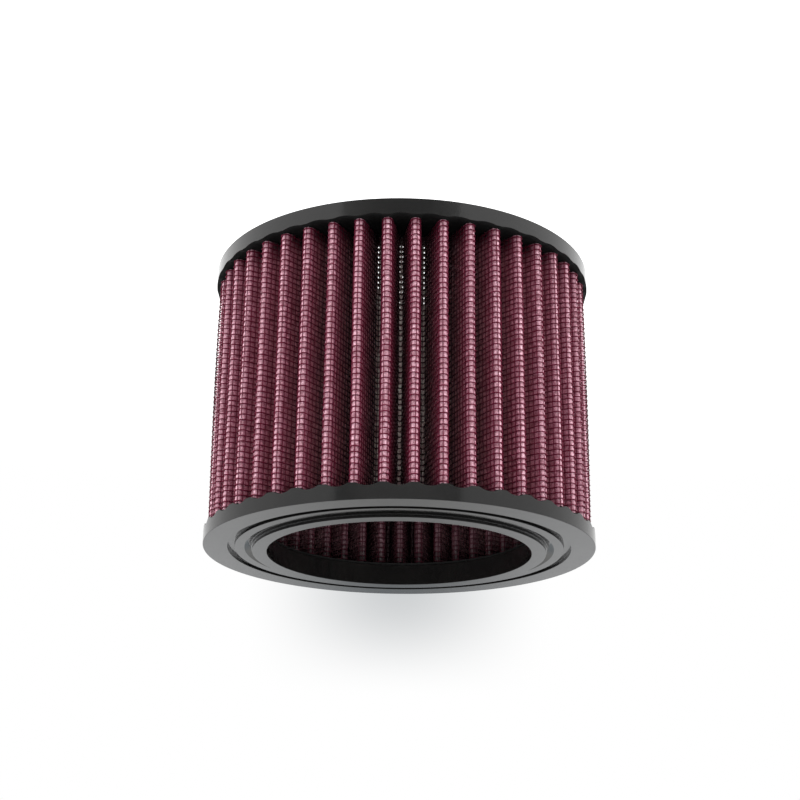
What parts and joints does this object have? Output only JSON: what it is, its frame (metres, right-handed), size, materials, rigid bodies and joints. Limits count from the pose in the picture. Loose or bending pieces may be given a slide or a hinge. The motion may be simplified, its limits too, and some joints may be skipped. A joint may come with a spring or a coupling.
{
  "type": "air filter cartridge",
  "caption": "Open-ended round air filter: pleated gauze between wire screens, with moulded rubber end caps that seal face to face.",
  "frame": {"origin": "centre of the bottom face of the lower seal ring, on the bore's axis", "axes": "+Z along the bore from the lower cap to the upper cap; the pack's seam is at +X"},
  "size_m": [0.1416, 0.1416, 0.1093],
  "materials": {
    "end_cap": "moulded black polyurethane, satin",
    "wire_screen": "dark epoxy coating on woven wire, semi-gloss",
    "gauze": "oiled cotton gauze, open weave",
    "seam_clip": "crimped strip, dull"
  },
  "bodies": {
    "root": {"lower_end_cap": "end_cap", "upper_end_cap": "end_cap", "outer_wire_screen": "wire_screen", "inner_wire_screen": "wire_screen", "gauze_ply_1": "gauze", "gauze_ply_2": "gauze", "gauze_ply_3": "gauze", "gauze_ply_4": "gauze", "seam_clip": "seam_clip"}
  },
  "joints": []
}
